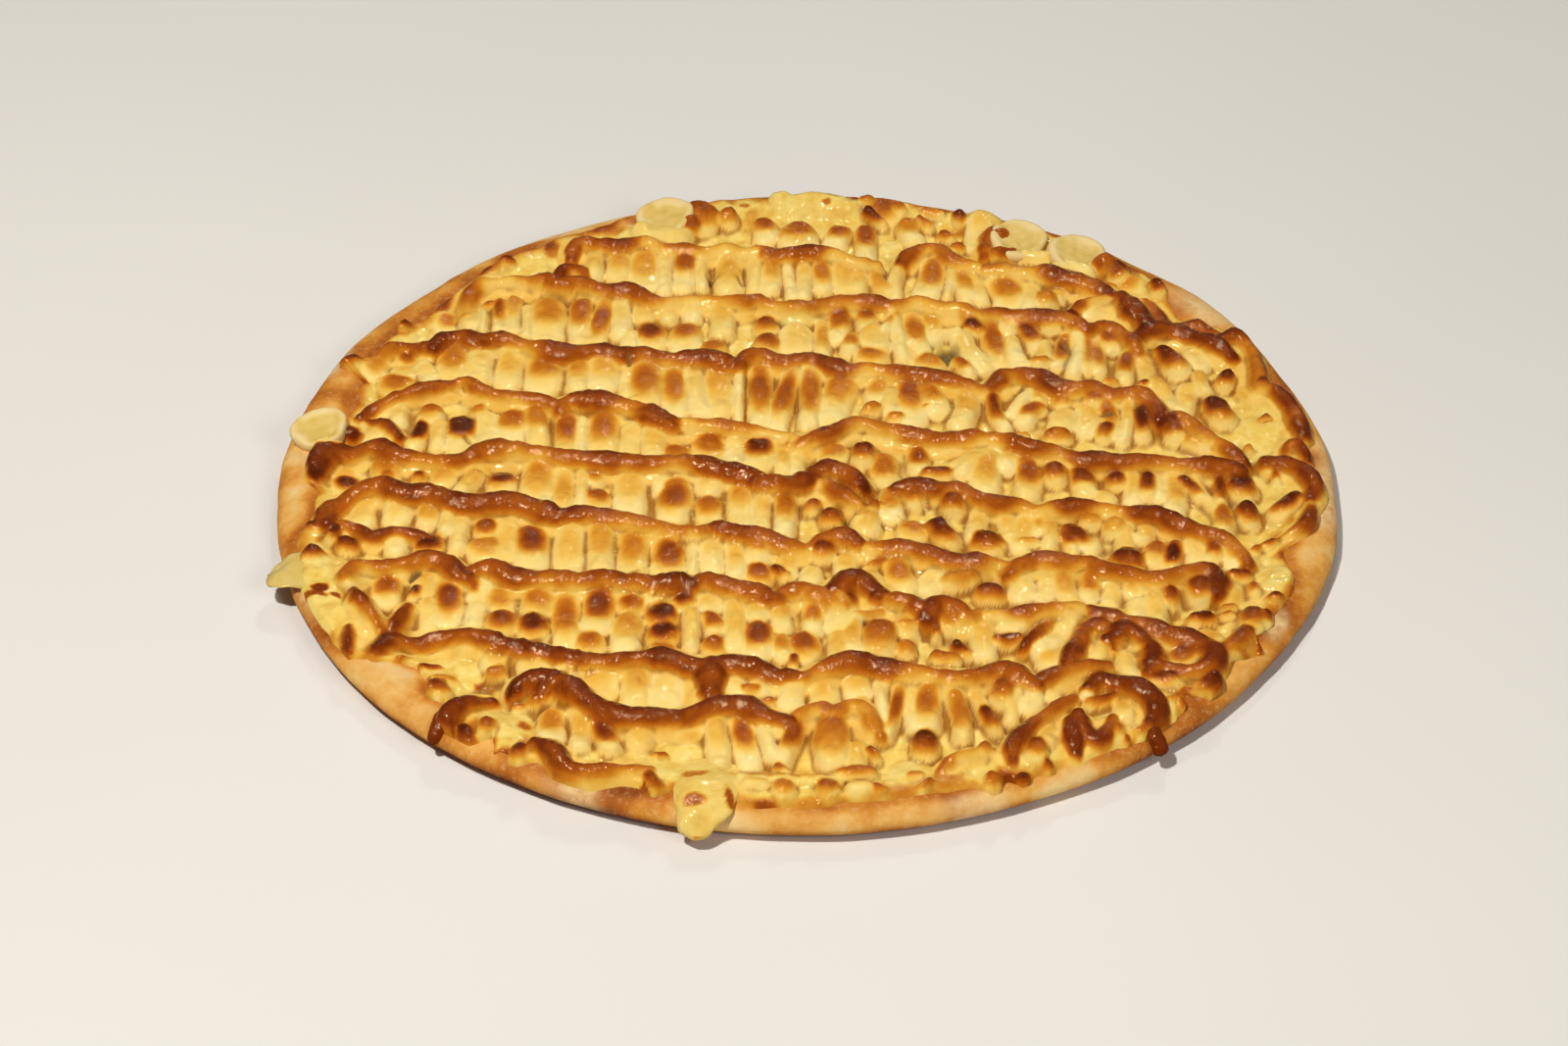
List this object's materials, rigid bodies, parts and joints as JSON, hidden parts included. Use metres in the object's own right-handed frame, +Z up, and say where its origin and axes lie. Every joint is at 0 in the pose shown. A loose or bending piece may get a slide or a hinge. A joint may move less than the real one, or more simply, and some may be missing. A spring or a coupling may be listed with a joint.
{
  "type": "pizza",
  "caption": "Round thin-crust pizza with melted cheese and a lattice of piped cream cheese browned in the oven, pale slices at its edge.",
  "frame": {"origin": "centre of the crust's flat underside", "axes": "+Z up, the ropes of cheese run along X and the strips below them along Y, -Y is the side nearest the viewer"},
  "size_m": [0.353, 0.3483, 0.0167],
  "materials": {
    "crust": "baked dough, golden, pale and floury at its outer edge",
    "cheese": "cream cheese, pale yellow with glossy orange to dark brown tops",
    "palm_heart": "moist pale vegetable slice with a whiter ring at its edge"
  },
  "bodies": {
    "root": {"crust": "crust", "cheese": "cheese", "palm_slice_left": "palm_heart", "palm_slice_back_left": "palm_heart", "palm_slice_back": "palm_heart", "palm_slice_back_right": "palm_heart"}
  },
  "joints": []
}
